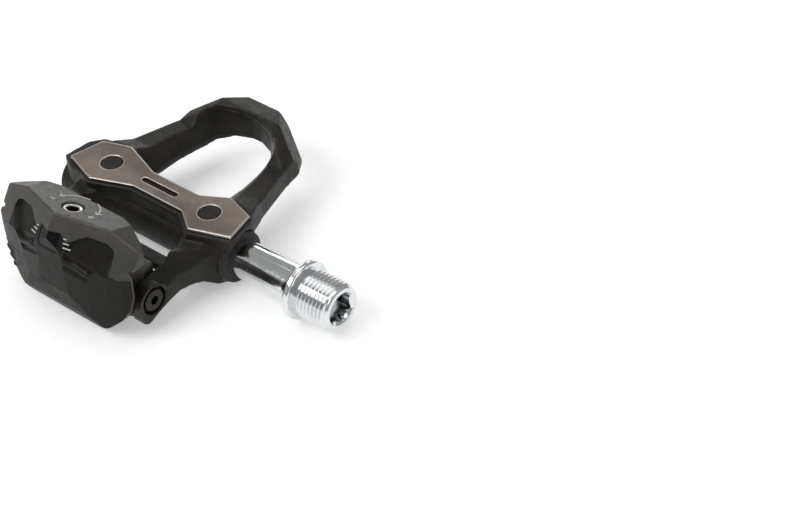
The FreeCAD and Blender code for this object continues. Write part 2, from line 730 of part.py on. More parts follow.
# ---- release tension ---------------------------------------------------------------------------
def tension_screw():
    head_depth = tension_head_sink + tension_head_thick
    head = Part.makeCylinder(tension_head_radius, tension_head_thick)
    shank = Part.makeCylinder(tension_screw_radius, tension_screw_length, Vector(0, 0, -tension_screw_length))
    corner = tension_socket_across / math.sqrt(3.0)
    turns = [math.radians(60.0 * k) for k in range(6)]
    key = prism_z([(corner * math.cos(t), corner * math.sin(t)) for t in turns], 0.7, tension_head_thick + 1)
    return along_screw(head.fuse(shank).cut(key), head_depth)


def tension_nut():
    """The nut that rides on the tension screw, with a foot in front of each spring's leg."""
    nut = block(-nut_half_width, nut_half_width, -nut_half_depth, nut_half_depth, -nut_height, 0)
    nut = along_screw(nut, nut_start)
    leg_front = hinge_y - spring_coil_radius + spring_wire_radius + 0.05
    foot = block(spring_inner_end - 1.2, nut_half_width, leg_front, leg_front + 1.5, 9.4, 13.2)
    bore = along_screw(Part.makeCylinder(tension_screw_radius + running_clearance, 30), 30)
    return nut.fuse([foot, mirror_x(foot)]).cut(bore)


def tension_indicator():
    """The pointer on the back of the nut that shows in the window."""
    pointer = block(-1.2, 1.2, -nut_half_depth - 2.5, -nut_half_depth, -0.7, 0.6)
    return along_screw(pointer, nut_start)


# ---- write every piece -------------------------------------------------------------------------
def main():
    os.makedirs("parts", exist_ok=True)
    write("pedal_body", pedal_body())
    write("platform_plate", platform_plate())
    write("plate_rivets", Part.makeCompound([rivet(-1), rivet(1)]))
    write("barrel_band", band_ring())
    write("spindle", spindle())
    write("needle_cup", needle_cup())
    write("needle_cage", needle_cage())
    write("bearing_needles", bearing_needles())
    write("ball_outer_race", outer_race())
    write("ball_inner_race", inner_race())
    write("bearing_balls", bearing_balls())
    write("ball_cage", ball_cage())
    write("shaft_seal", shaft_seal())
    write("lock_nut", lock_nut())
    write("end_cap", end_cap())
    write("cap_seal", cap_seal())
    write("hinge_pin", hinge_pin())
    write("hinge_screws", Part.makeCompound([hinge_screw(), mirror_x(hinge_screw())]))
    write("stop_pin", stop_pin())
    write("hinge_bushes", Part.makeCompound([hinge_bush(), mirror_x(hinge_bush())]))
    write("torsion_spring_inboard", torsion_spring())
    write("torsion_spring_outboard", mirror_x(torsion_spring()))
    write("rear_latch", rear_latch())
    write("tension_window", tension_window())
    write("tension_screw", tension_screw())
    write("tension_nut", tension_nut())
    write("tension_indicator", tension_indicator())


main()
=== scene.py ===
"""Looks of a left clipless road pedal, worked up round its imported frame, in metres.

The frame's origin is the crank shoulder on the spindle's axis: +X runs towards the crank, +Y towards
the toe of the shoe and +Z up out of the platform.  Each class below is one sub-assembly: it keeps its
sizes as fields, works its meshes out as whole arrays, and dresses them in a finish.
"""
import json
import logging
import math
from dataclasses import dataclass
from enum import Enum

import bpy
import numpy as np
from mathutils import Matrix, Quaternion, Vector

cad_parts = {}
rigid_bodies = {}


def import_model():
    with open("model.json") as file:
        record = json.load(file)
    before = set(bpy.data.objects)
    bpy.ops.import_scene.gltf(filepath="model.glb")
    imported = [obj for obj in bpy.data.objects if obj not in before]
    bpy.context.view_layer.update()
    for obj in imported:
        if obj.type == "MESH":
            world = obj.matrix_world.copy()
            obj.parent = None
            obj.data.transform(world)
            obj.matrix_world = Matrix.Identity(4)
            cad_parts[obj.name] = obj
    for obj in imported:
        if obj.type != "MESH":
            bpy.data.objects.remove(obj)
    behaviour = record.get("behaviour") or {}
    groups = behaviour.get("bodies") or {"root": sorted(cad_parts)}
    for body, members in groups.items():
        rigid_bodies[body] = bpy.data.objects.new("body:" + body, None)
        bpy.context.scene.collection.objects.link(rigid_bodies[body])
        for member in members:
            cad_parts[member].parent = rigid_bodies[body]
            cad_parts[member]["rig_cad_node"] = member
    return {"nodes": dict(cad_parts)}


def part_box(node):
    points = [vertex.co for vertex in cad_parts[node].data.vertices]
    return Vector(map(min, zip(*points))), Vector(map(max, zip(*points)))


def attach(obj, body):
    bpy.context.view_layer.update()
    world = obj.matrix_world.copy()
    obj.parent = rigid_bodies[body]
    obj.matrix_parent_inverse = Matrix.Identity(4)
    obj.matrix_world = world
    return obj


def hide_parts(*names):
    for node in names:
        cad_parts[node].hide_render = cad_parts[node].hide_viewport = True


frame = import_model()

logging.basicConfig(level=logging.INFO, format="%(message)s")
log = logging.getLogger("pedal")

MM = 0.001
PLATFORM_MM = -54.8              # middle of the platform, along the spindle, in millimetres
PLATFORM_X = PLATFORM_MM * MM
Array = np.ndarray


class Body(Enum):
    """The moving groups of the frame."""

    SPINDLE = "spindle"
    PEDAL = "pedal"
    LATCH = "latch"


class Grain(Enum):
    """Which way a metal's brush or lathe lines run."""

    ALONG_X = (0.02, 1.0, 1.0)
    ROUND_X = (1.0, 0.03, 0.03)
    NONE = (1.0, 1.0, 1.0)


# ---- shader building ---------------------------------------------------------------------------
class Shader:
    """One material: its node tree, its surface shader, and short ways to wire patterns into it."""

    def __init__(self, name: str) -> None:
        """Start an empty material.

        Args:
            name: the material's name.
        """
        self.material = bpy.data.materials.new(name)
        self.material.use_nodes = True
        self.tree = self.material.node_tree
        self.tree.nodes.clear()
        self.surface = self.node("ShaderNodeBsdfPrincipled")
        output = self.node("ShaderNodeOutputMaterial")
        self.link(self.surface.outputs["BSDF"], output.inputs["Surface"])
        self.heights: list[tuple[bpy.types.NodeSocket, float]] = []

    def node(self, kind: str) -> bpy.types.Node:
        """Add a node of the given kind."""
        return self.tree.nodes.new(kind)

    def link(self, start: bpy.types.NodeSocket, end: bpy.types.NodeSocket) -> None:
        """Join an output to an input."""
        self.tree.links.new(start, end)

    def set(self, **values: object) -> None:
        """Set constants on the surface shader's own sockets; underscores stand for spaces."""
        for key, value in values.items():
            self.surface.inputs[key.replace("_", " ")].default_value = value

    def place(self, stretch: tuple[float, float, float], turn_x: float = 0.0) -> bpy.types.NodeSocket:
        """Object coordinates, stretched and turned.

        Args:
            stretch: scale along X, Y and Z.
            turn_x: turn about X in radians.

        Returns:
            The mapped position.
        """
        where = self.node("ShaderNodeTexCoord")
        mapping = self.node("ShaderNodeMapping")
        mapping.inputs["Scale"].default_value = stretch
        mapping.inputs["Rotation"].default_value = (turn_x, 0.0, 0.0)
        self.link(where.outputs["Object"], mapping.inputs["Vector"])
        return mapping.outputs["Vector"]

    def noise(
        self,
        size: float,
        detail: float = 2.0,
        stretch: tuple[float, float, float] = (1.0, 1.0, 1.0),
        turn_x: float = 0.0,
    ) -> bpy.types.NodeSocket:
        """Smooth noise.

        Args:
            size: width of one blob in metres.
            detail: how many finer layers are added.
            stretch: scale along X, Y and Z; a small number draws the noise out that way.
            turn_x: turn of the pattern about X in radians.

        Returns:
            The noise, about 0 to 1.
        """
        noise = self.node("ShaderNodeTexNoise")
        noise.inputs["Scale"].default_value = 1.0 / size
        noise.inputs["Detail"].default_value = detail
        self.link(self.place(stretch, turn_x), noise.inputs["Vector"])
        return noise.outputs["Fac"]

    def cells(self, size: float) -> bpy.types.NodeSocket:
        """Distance to the nearest of many scattered points, for a pitted or leathery grain."""
        cells = self.node("ShaderNodeTexVoronoi")
        cells.inputs["Scale"].default_value = 1.0 / size
        self.link(self.place((1.0, 1.0, 1.0)), cells.inputs["Vector"])
        return cells.outputs["Distance"]

    def span(
        self, value: bpy.types.NodeSocket, low: float, high: float, start: float = 0.0, end: float = 1.0
    ) -> bpy.types.NodeSocket:
        """Map low to high onto start to end, clamped."""
        span = self.node("ShaderNodeMapRange")
        span.inputs["From Min"].default_value = low
        span.inputs["From Max"].default_value = high
        span.inputs["To Min"].default_value = start
        span.inputs["To Max"].default_value = end
        self.link(value, span.inputs["Value"])
        return span.outputs["Result"]

    def blend(
        self,
        amount: bpy.types.NodeSocket,
        low: tuple[float, float, float] | bpy.types.NodeSocket,
        high: tuple[float, float, float],
    ) -> bpy.types.NodeSocket:
        """Mix two colours by a pattern.

        Args:
            amount: 0 for low, 1 for high.
            low: a linear RGB colour, or an earlier mix.
            high: a linear RGB colour.

        Returns:
            The mixed colour.
        """
        mix = self.node("ShaderNodeMix")
        mix.data_type = "RGBA"
        self.link(amount, mix.inputs["Factor"])
        if isinstance(low, tuple):
            mix.inputs["A"].default_value = (*low, 1.0)
        else:
            self.link(low, mix.inputs["A"])
        mix.inputs["B"].default_value = (*high, 1.0)
        return mix.outputs["Result"]

    def attribute(self, name: str) -> bpy.types.NodeSocket:
        """A number stored on the piece's points."""
        attribute = self.node("ShaderNodeAttribute")
        attribute.attribute_name = name
        return attribute.outputs["Fac"]

    def colour(self, socket: bpy.types.NodeSocket) -> None:
        """Use a pattern as the surface's colour."""
        self.link(socket, self.surface.inputs["Base Color"])

    def roughness(self, socket: bpy.types.NodeSocket) -> None:
        """Use a pattern as the surface's roughness."""
        self.link(socket, self.surface.inputs["Roughness"])

    def relief(self, socket: bpy.types.NodeSocket, height: float) -> None:
        """Add a pattern to the surface's relief.

        Args:
            socket: the pattern, about 0 to 1.
            height: depth of the relief in metres.
        """
        self.heights.append((socket, height))

    def done(self) -> bpy.types.Material:
        """Chain the reliefs into one normal and return the material."""
        normal = None
        for socket, height in self.heights:
            bump = self.node("ShaderNodeBump")
            bump.inputs["Strength"].default_value = 1.0
            bump.inputs["Distance"].default_value = height
            self.link(socket, bump.inputs["Height"])
            if normal is not None:
                self.link(normal, bump.inputs["Normal"])
            normal = bump.outputs["Normal"]
        if normal is not None:
            self.link(normal, self.surface.inputs["Normal"])
        return self.material


# ---- finishes ----------------------------------------------------------------------------------
@dataclass(frozen=True)
class MouldedNylon:
    """Carbon-filled nylon from a spark-eroded mould: satin, finely grained, paler on rubbed edges."""

    name: str
    slot: str
    deep: tuple[float, float, float]
    pale: tuple[float, float, float]
    sheen_low: float = 0.36
    sheen_high: float = 0.56
    grain_size: float = 0.16 * MM
    grain_depth: float = 0.010 * MM
    # matt_shaded_panels: the latch's lower rear panels get less sheen and a base colour darkened as painted
    # shade.
    edge_wear: bool = True
    matt_shaded_panels: bool = False
    sheen: float = 0.30

    def make(self) -> bpy.types.Material:
        """Build the material."""
        s = Shader(self.name)
        clouds = s.noise(5.0 * MM, 4.0)
        base = s.blend(s.span(clouds, 0.35, 0.68), self.deep, self.pale)
        flecks = s.span(s.noise(0.22 * MM, 1.0, (0.25, 1.0, 1.0)), 0.66, 0.74, 0.0, 0.35)
        base = s.blend(flecks, base, tuple(2.2 * c for c in self.pale))
        if self.edge_wear:
            patches = s.span(s.noise(2.2 * MM, 3.0), 0.38, 0.72, 0.10, 0.75)
            edges = s.span(s.attribute("edge"), 0.25, 1.0)
            product = s.node("ShaderNodeMath")
            product.operation = "MULTIPLY"
            s.link(patches, product.inputs[0])
            s.link(edges, product.inputs[1])
            base = s.blend(product.outputs[0], base, tuple(3.2 * c for c in self.pale))
        s.set(IOR=1.52, Specular_IOR_Level=self.sheen)
        # Marked panels are made matt and their base colour is darkened to 0.4 of deep: painted shade on the
        # lower rear faces.
        if self.matt_shaded_panels:
            matt_shaded_panel = s.attribute("matt_shaded_panel")
            base = s.blend(s.span(matt_shaded_panel, 0.0, 1.0, 0.0, 0.80), base, tuple(0.4 * c for c in self.deep))
            sheen = s.span(matt_shaded_panel, 0.0, 1.0, self.sheen, 0.2 * self.sheen)
            s.link(sheen, s.surface.inputs["Specular IOR Level"])
        s.colour(base)
        s.roughness(s.span(s.noise(1.6 * MM, 4.0), 0.3, 0.7, self.sheen_low, self.sheen_high))
        s.relief(s.noise(14.0 * MM, 1.0), 0.05 * MM)
        s.relief(s.cells(self.grain_size), self.grain_depth)
        s.relief(s.noise(self.grain_size * 3.0, 2.0), self.grain_depth * 1.2)
        return s.done()


@dataclass(frozen=True)
class DrawnMetal:
    """A metal with brush or lathe lines, faint scratches and a slow change of tone."""

    name: str
    slot: str
    tone: tuple[float, float, float]
    stain: tuple[float, float, float]
    rough_low: float
    rough_high: float
    grain: Grain = Grain.NONE
    line_width: float = 0.07 * MM
    line_depth: float = 0.004 * MM
    anisotropy: float = 0.0
    # bright_edge: colour blended in along the 'edge' attribute; on the plate it is partly a rubbed polished
    # edge and partly a painted highlight.
    bright_edge: tuple[float, float, float] | None = None

    def make(self) -> bpy.types.Material:
        """Build the material."""
        s = Shader(self.name)
        s.set(Metallic=1.0, Anisotropic=self.anisotropy)
        lines = s.noise(self.line_width, 3.0, self.grain.value)
        blotches = s.noise(6.0 * MM, 4.0)
        base = s.blend(s.span(blotches, 0.32, 0.72), self.tone, self.stain)
        base = s.blend(s.span(lines, 0.55, 0.80, 0.0, 0.35), base, tuple(0.72 * c for c in self.tone))
        # Edges blend toward the bright-edge colour: partly rubbed metal, partly a painted highlight along the
        # plate's edges.
        if self.bright_edge is not None:
            base = s.blend(s.span(s.attribute("edge"), 0.18, 0.90), base, self.bright_edge)
        s.colour(base)
        s.roughness(s.span(s.noise(1.1 * MM, 5.0), 0.3, 0.7, self.rough_low, self.rough_high))
        s.relief(lines, self.line_depth)
        scratches = s.span(s.noise(0.35 * MM, 2.0, (1.0, 0.05, 1.0), 0.6), 0.70, 0.74)
        s.relief(scratches, self.line_depth * 0.8)
        return s.done()


@dataclass(frozen=True)
class BlackedSteel:
    """Black oxide steel, rubbed bright where the key and the lathe have touched it."""

    name: str
    slot: str
    tone: tuple[float, float, float]
    bright: tuple[float, float, float]

    def make(self) -> bpy.types.Material:
        """Build the material."""
        s = Shader(self.name)
        s.set(Metallic=1.0)
        bright_edge = s.span(s.attribute("edge"), 0.2, 0.8)
        pale = tuple(1.7 * c for c in self.tone)
        stain = s.blend(s.span(s.noise(1.5 * MM, 4.0), 0.35, 0.7), self.tone, pale)
        s.colour(s.blend(bright_edge, stain, self.bright))
        s.roughness(s.span(s.noise(0.5 * MM, 4.0), 0.3, 0.7, 0.24, 0.46))
        s.relief(s.noise(0.08 * MM, 2.0), 0.003 * MM)
        return s.done()


@dataclass(frozen=True)
class MattPolymer:
    """Matt rubber or plain nylon with a dusty bloom: seals, bushes and bearing cages."""

    name: str
    slot: str
    tone: tuple[float, float, float]
    bloom: tuple[float, float, float]

    def make(self) -> bpy.types.Material:
        """Build the material."""
        s = Shader(self.name)
        s.colour(s.blend(s.span(s.noise(1.5 * MM, 4.0), 0.4, 0.75), self.tone, self.bloom))
        s.roughness(s.span(s.noise(0.6 * MM, 3.0), 0.3, 0.7, 0.62, 0.85))
        s.relief(s.noise(0.2 * MM, 2.0), 0.008 * MM)
        return s.done()


@dataclass(frozen=True)
class PrintedInk:
    """Pad-printed ink, slightly broken where it has worn."""

    name: str
    slot: str
    tone: tuple[float, float, float]
    worn: tuple[float, float, float]

    def make(self) -> bpy.types.Material:
        """Build the material."""
        s = Shader(self.name)
        s.colour(s.blend(s.span(s.noise(0.5 * MM, 4.0), 0.56, 0.74), self.tone, self.worn))
        s.roughness(s.span(s.noise(0.3 * MM, 2.0), 0.3, 0.7, 0.45, 0.65))
        s.relief(s.noise(0.12 * MM, 2.0), 0.004 * MM)
        return s.done()


@dataclass(frozen=True)
class SmokedPlastic:
    """Glossy clear plastic, smoked nearly black."""

    name: str
    slot: str
    tone: tuple[float, float, float]

    def make(self) -> bpy.types.Material:
        """Build the material."""
        s = Shader(self.name)
        s.set(Transmission_Weight=0.15, IOR=1.49, Specular_IOR_Level=0.12)
        s.colour(s.blend(s.noise(2.0 * MM, 2.0), self.tone, tuple(0.6 * c for c in self.tone)))
        s.roughness(s.span(s.noise(0.5 * MM, 4.0), 0.3, 0.75, 0.16, 0.32))
        return s.done()


class Finishes:
    """Every finish of the pedal, made once and handed out by name."""

    def __init__(self) -> None:
        """Make the materials."""
        black = (0.0105, 0.0098, 0.0092)
        pale_black = (0.0190, 0.0176, 0.0166)
        self.recipes = {
            "body": MouldedNylon("moulded body nylon", "composite_black", black, pale_black, sheen=0.22),
            # The latch's lower rear panels are made matt and painted darker as shade.
            "latch": MouldedNylon(
                "moulded latch nylon", "latch_grey", (0.0175, 0.0162, 0.0154), (0.0300, 0.0276, 0.0262),
                0.36, 0.52, matt_shaded_panels=True, sheen=0.60,
            ),
            "screw": BlackedSteel(
                "rubbed screw steel", "bearing_steel", (0.045, 0.042, 0.040), (0.72, 0.70, 0.67)
            ),
            "plug": MouldedNylon(
                "plug nylon", "black_steel", (0.014, 0.013, 0.012), (0.024, 0.022, 0.020), 0.5, 0.7,
                edge_wear=False, sheen=0.15,
            ),
            # The plate's bright edge colour is partly a rubbed polished bevel and partly a painted highlight
            # along its edges.
            "plate": DrawnMetal(
                "brushed stainless", "stainless", (0.27, 0.228, 0.197), (0.20, 0.170, 0.147), 0.30, 0.44,
                Grain.ALONG_X, 0.06 * MM, 0.0035 * MM, 0.45, bright_edge=(0.66, 0.63, 0.59),
            ),
            "chrome": DrawnMetal(
                "turned bright steel", "chromed_steel", (0.80, 0.80, 0.80), (0.66, 0.67, 0.68), 0.06, 0.17,
                Grain.ROUND_X, 0.05 * MM, 0.0012 * MM, 0.2,
            ),
            "bearing": DrawnMetal(
                "ground bearing steel", "bearing_steel", (0.62, 0.61, 0.59), (0.50, 0.49, 0.47), 0.14, 0.28,
                Grain.ROUND_X, 0.05 * MM, 0.0015 * MM,
            ),
            "black_steel": DrawnMetal(
                "blacked steel", "black_steel", (0.045, 0.043, 0.041), (0.028, 0.027, 0.026), 0.30, 0.50
            ),
            "spring": DrawnMetal(
                "oiled spring steel", "spring_steel", (0.28, 0.27, 0.26), (0.17, 0.16, 0.15), 0.22, 0.40
            ),
            "bush": MattPolymer(
                "graphite bush polymer", "bush_polymer", (0.016, 0.016, 0.016), (0.028, 0.027, 0.026)
            ),
            "rubber": MattPolymer(
                "nitrile rubber", "seal_rubber", (0.012, 0.012, 0.012), (0.035, 0.034, 0.032)
            ),
            "cage": MattPolymer("cage nylon", "cage_polymer", (0.22, 0.17, 0.10), (0.30, 0.25, 0.16)),
            "ink": PrintedInk("white print", "latch_grey", (0.56, 0.56, 0.55), (0.24, 0.24, 0.23)),
            "window": SmokedPlastic("smoked window", "window_clear", (0.0035, 0.0035, 0.004)),
            "marker": PrintedInk("marker plastic", "indicator_mark", (0.75, 0.16, 0.03), (0.55, 0.11, 0.02)),
        }
        self.materials = {key: recipe.make() for key, recipe in self.recipes.items()}

    def dress(self, piece: bpy.types.Object, key: str) -> None:
        """Give a piece its finish.

        Args:
            piece: a new piece or a carried-over node.
            key: name of the finish.
        """
        piece.data.materials.clear()
        piece.data.materials.append(self.materials[key])


# ---- mesh building -----------------------------------------------------------------------------
def new_piece(
    name: str, points: Array, faces: list, body: Body, crease_deg: float = 32.0
) -> bpy.types.Object:
    """Make a piece from points and faces, let it ride on a body, and shade it.

    Args:
        name: the piece's name.
        points: N by 3 array of places.
        faces: lists of point numbers.
        body: the body it moves with.
        crease_deg: edges that turn more than this stay sharp.

    Returns:
        The piece's object.
    """
    mesh = bpy.data.meshes.new(name)
    mesh.from_pydata(points.tolist(), [], faces)
    mesh.validate()
    mesh.shade_smooth()
    mesh.set_sharp_from_angle(angle=math.radians(crease_deg))
    piece = bpy.data.objects.new(name, mesh)
    bpy.context.scene.collection.objects.link(piece)
    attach(piece, body.value)
    log.info("%s: %d points, %d faces", name, len(mesh.vertices), len(mesh.polygons))
    return piece


def grid_faces(rows: int, columns: int, closed: bool) -> list:
    """Quads of a rows-by-columns grid of points, closed round its columns if asked.

    Args:
        rows: number of rings of points.
        columns: points in a ring.
        closed: True joins the last column to the first.

    Returns:
        Four point numbers for each quad.
    """
    spans = np.arange(columns if closed else columns - 1)
    row, column = np.meshgrid(np.arange(rows - 1), spans, indexing="ij")
    after = (column + 1) % columns
    here = row * columns
    ahead = (row + 1) * columns
    corners = [here + column, ahead + column, ahead + after, here + after]
    return np.stack([c.ravel() for c in corners], axis=1).tolist()


def turned(along: Array, radius: Array, columns: int) -> tuple[Array, list]:
    """A closed surface turned about X, whose ends shrink to points.

    A point of ring i at angle t lies at (along_i, radius(i, t) cos t, radius(i, t) sin t).

    Args:
        along: place of each ring on the axis.
        radius: rings by columns array of radii, or one radius a ring.
        columns: points round a ring.

    Returns:
        The points and faces, with the first and last rings closed by fans.
    """
    angle = np.linspace(0.0, 2.0 * math.pi, columns, endpoint=False)
    radii = radius[:, None] * np.ones(columns) if radius.ndim == 1 else radius
    places = np.repeat(along[:, None], columns, axis=1)
    points = np.stack([places, radii * np.cos(angle), radii * np.sin(angle)], axis=-1).reshape(-1, 3)
    faces = grid_faces(len(along), columns, True)
    last = len(points)
    caps = np.array([[along[0], 0.0, 0.0], [along[-1], 0.0, 0.0]])
    ring = np.arange(columns)
    ahead = (ring + 1) % columns
    start = np.stack([ring, ahead, np.full(columns, last)], axis=1)
    end = np.stack([ahead, ring, np.full(columns, last + 1)], axis=1) + np.array([1, 1, 0]) * (last - columns)
    return np.vstack([points, caps]), faces + start.tolist() + end.tolist()


@dataclass(frozen=True)
class Sheet:
    """A flat place to draw on: an origin, two directions in the plane and the way out of it."""

    origin: Array
    across: Array
    up: Array

    @property
    def out(self) -> Array:
        """The unit normal."""
        return np.cross(self.across, self.up)

    def lift(self, flat: Array, height: float) -> Array:
        """Places in space of flat (across, up) points at a height above the sheet."""
        return self.origin + flat[:, :1] * self.across + flat[:, 1:2] * self.up + height * self.out


def stroke(sheet: Sheet, line: Array, width: float, low: float, high: float) -> tuple[Array, list]:
    """A flat band of even width along a line drawn on a sheet.

    The band's edges lie half a width either side of the line, square to its direction.

    Args:
        sheet: the plane it lies on.
        line: N by 2 array of its middle, in metres.
        width: the band's width.
        low: underside above the sheet.
        high: top above the sheet.

    Returns:
        The points and faces.
    """
    heading = np.gradient(line, axis=0)
    heading /= np.linalg.norm(heading, axis=1, keepdims=True)
    side = np.stack([-heading[:, 1], heading[:, 0]], axis=1) * width / 2
    corners = [(line - side, high), (line + side, high), (line + side, low), (line - side, low)]
    points = np.stack([sheet.lift(flat, height) for flat, height in corners], axis=1).reshape(-1, 3)
    count = len(line)
    faces = grid_faces(count, 4, True)
    return points, faces + [[3, 2, 1, 0], [4 * count - 4, 4 * count - 3, 4 * count - 2, 4 * count - 1]]


def joined(parts: list[tuple[Array, list]]) -> tuple[Array, list]:
    """Several point-and-face sets as one."""
    starts = np.cumsum([0] + [len(points) for points, _ in parts[:-1]])
    faces = [
        [int(i) + int(start) for i in face]
        for start, (_, group) in zip(starts, parts)
        for face in group
    ]
    return np.vstack([points for points, _ in parts]), faces


# ---- moulded pieces ----------------------------------------------------------------------------
@dataclass
class SoftMoulding:
    """A moulded part with rounded corners, worked from the frame's sharp-cornered solid."""

    name: str
    node: str
    body: Body
    voxel: float
    rounds: int
    keep: float = 1.0
    # edge_reach: easing rounds that set how broad the 'edge' band is; it drives wear on the nylon and, on the
    # plate, partly a painted highlight.
    edge_reach: int = 10

    def build(self, finishes: Finishes, finish: str) -> bpy.types.Object:
        """Remesh a copy of the node evenly, ease its corners and store where its edges are.

        Args:
            finishes: the finishes to dress it from.
            finish: name of its finish.

        Returns:
            The piece, which stands for the node.
        """
        mesh = self.even_mesh()
        points, edges = self.arrays(mesh)
        eased = self.ease(points, edges, self.rounds)
        broad = self.ease(eased, edges, self.edge_reach)
        proud = ((eased - broad) * self.set_points(mesh, eased)).sum(axis=1) / self.voxel
        edge = mesh.attributes.new("edge", "FLOAT", "POINT")
        edge.data.foreach_set("value", np.clip(proud * 2.2, 0.0, 1.0))
        self.work_surface(mesh, eased)
        piece = bpy.data.objects.new(self.name, mesh)
        bpy.context.scene.collection.objects.link(piece)
        if self.keep < 1.0:
            piece = self.thinned(piece)
        piece.data.shade_smooth()
        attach(piece, self.body.value)
        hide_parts(self.node)
        finishes.dress(piece, finish)
        log.info("%s: %d faces", self.name, len(piece.data.polygons))
        return piece

    def work_surface(self, mesh: bpy.types.Mesh, points: Array) -> None:
        """Add shape and patterns of the piece's own; a plain moulding has none.

        Args:
            mesh: the eased mesh.
            points: its points.
        """

    @staticmethod
    def set_points(mesh: bpy.types.Mesh, points: Array) -> Array:
        """Move the mesh's points and return its unit normals there."""
        mesh.vertices.foreach_set("co", points.ravel())
        mesh.update()
        normals = np.empty(len(points) * 3)
        mesh.vertices.foreach_get("normal", normals)
        return normals.reshape(-1, 3)

    def even_mesh(self) -> bpy.types.Mesh:
        """The node's skin remeshed into even quads."""
        source = frame["nodes"][self.node]
        copy = bpy.data.objects.new(self.name + "_source", source.data.copy())
        bpy.context.scene.collection.objects.link(copy)
        weld = copy.modifiers.new("weld", "WELD")
        weld.merge_threshold = 1e-6
        remesh = copy.modifiers.new("remesh", "REMESH")
        remesh.mode = "VOXEL"
        remesh.voxel_size = self.voxel
        graph = bpy.context.evaluated_depsgraph_get()
        mesh = bpy.data.meshes.new_from_object(copy.evaluated_get(graph))
        mesh.name = self.name
        bpy.data.objects.remove(copy)
        return mesh

    def thinned(self, piece: bpy.types.Object) -> bpy.types.Object:
        """Merge faces where the surface is flat, down to the share that is kept."""
        decimate = piece.modifiers.new("thin", "DECIMATE")
        decimate.ratio = self.keep
        graph = bpy.context.evaluated_depsgraph_get()
        mesh = bpy.data.meshes.new_from_object(piece.evaluated_get(graph))
        piece.modifiers.clear()
        piece.data = mesh
        return piece

    @staticmethod
    def arrays(mesh: bpy.types.Mesh) -> tuple[Array, Array]:
        """The mesh's points and edges as arrays."""
        points = np.empty(len(mesh.vertices) * 3)
        mesh.vertices.foreach_get("co", points)
        edges = np.empty(len(mesh.edges) * 2, np.int32)
        mesh.edges.foreach_get("vertices", edges)
        return points.reshape(-1, 3), edges.reshape(-1, 2)

    @staticmethod
    def ease(points: Array, edges: Array, rounds: int) -> Array:
        """Move every point halfway to the mean of its neighbours, a number of times over.

        Args:
            points: N by 3 array.
            edges: M by 2 array of joined points.
            rounds: how many times.

        Returns:
            The eased points.
        """
        count = len(points)
        degree = np.bincount(edges.ravel(), minlength=count)[:, None]
        for _ in range(rounds):
            total = np.stack(
                [
                    np.bincount(edges[:, 0], points[edges[:, 1], axis], count)
                    + np.bincount(edges[:, 1], points[edges[:, 0], axis], count)
                    for axis in range(3)
                ],
                axis=1,
            )
            points = 0.5 * points + 0.5 * total / degree
        return points


@dataclass
class LatchMoulding(SoftMoulding):
    """The latch's moulding, with grip ribs at its outboard lower corner and matt panels behind, painted
    darker as shade.
    """

    rib_pitch: float = 2.2 * MM
    rib_height: float = 0.42 * MM
    rib_top: float = 4.6 * MM
    rib_bottom: float = -6.4 * MM
    rib_start: float = 19.5 * MM
    fade: float = 1.0 * MM
    rib_front: float = -35.8 * MM
    panel_front: float = -33.0 * MM
    panel_facing: float = -0.15
    panel_top: tuple[tuple[float, float], ...] = (
        (0.0, 20.9), (3.6, 20.9), (5.6, 18.9), (10.6, 21.2), (16.2, 20.5), (18.6, 19.4), (19.3, 17.3),
        (19.4, 13.2), (22.5, 12.6), (26.5, 13.4),
    )

    def work_surface(self, mesh: bpy.types.Mesh, points: Array) -> None:
        """Raise the ribs and store the panels, which the finish makes matt and darkens as painted shade.

        A rib's height is the positive half of cos(2 pi z / pitch), faded in over the corner's reach.
        A panel is the rear-facing skin below panel_top, a line of (sideways, height) points in millimetres;
        its darker colour is painted shade.

        Args:
            mesh: the eased mesh.
            points: its points.
        """
        normals = self.set_points(mesh, points)
        across, z = points[:, 0] - PLATFORM_X, points[:, 2]
        behind = points[:, 1] < self.rib_front
        fade = [
            np.clip((-across - self.rib_start) / self.fade, 0.0, 1.0),
            np.clip((self.rib_top - z) / self.fade, 0.0, 1.0),
            np.clip((z - self.rib_bottom) / self.fade, 0.0, 1.0),
        ]
        wave = np.clip(np.cos(2.0 * math.pi * z / self.rib_pitch), 0.0, 1.0)
        height = self.rib_height * wave * fade[0] * fade[1] * fade[2] * behind
        self.set_points(mesh, points + normals * height[:, None])
        # The panel mask marks the rear-facing lower skin, which the finish paints darker as shade.
        border = np.array(self.panel_top) * MM
        low = z < np.interp(np.abs(across), border[:, 0], border[:, 1])
        shaded_rear = low & (normals[:, 1] < self.panel_facing) & (points[:, 1] < self.panel_front)
        matt_shaded_panel = mesh.attributes.new("matt_shaded_panel", "FLOAT", "POINT")
        matt_shaded_panel.data.foreach_set("value", shaded_rear.astype(np.float64))


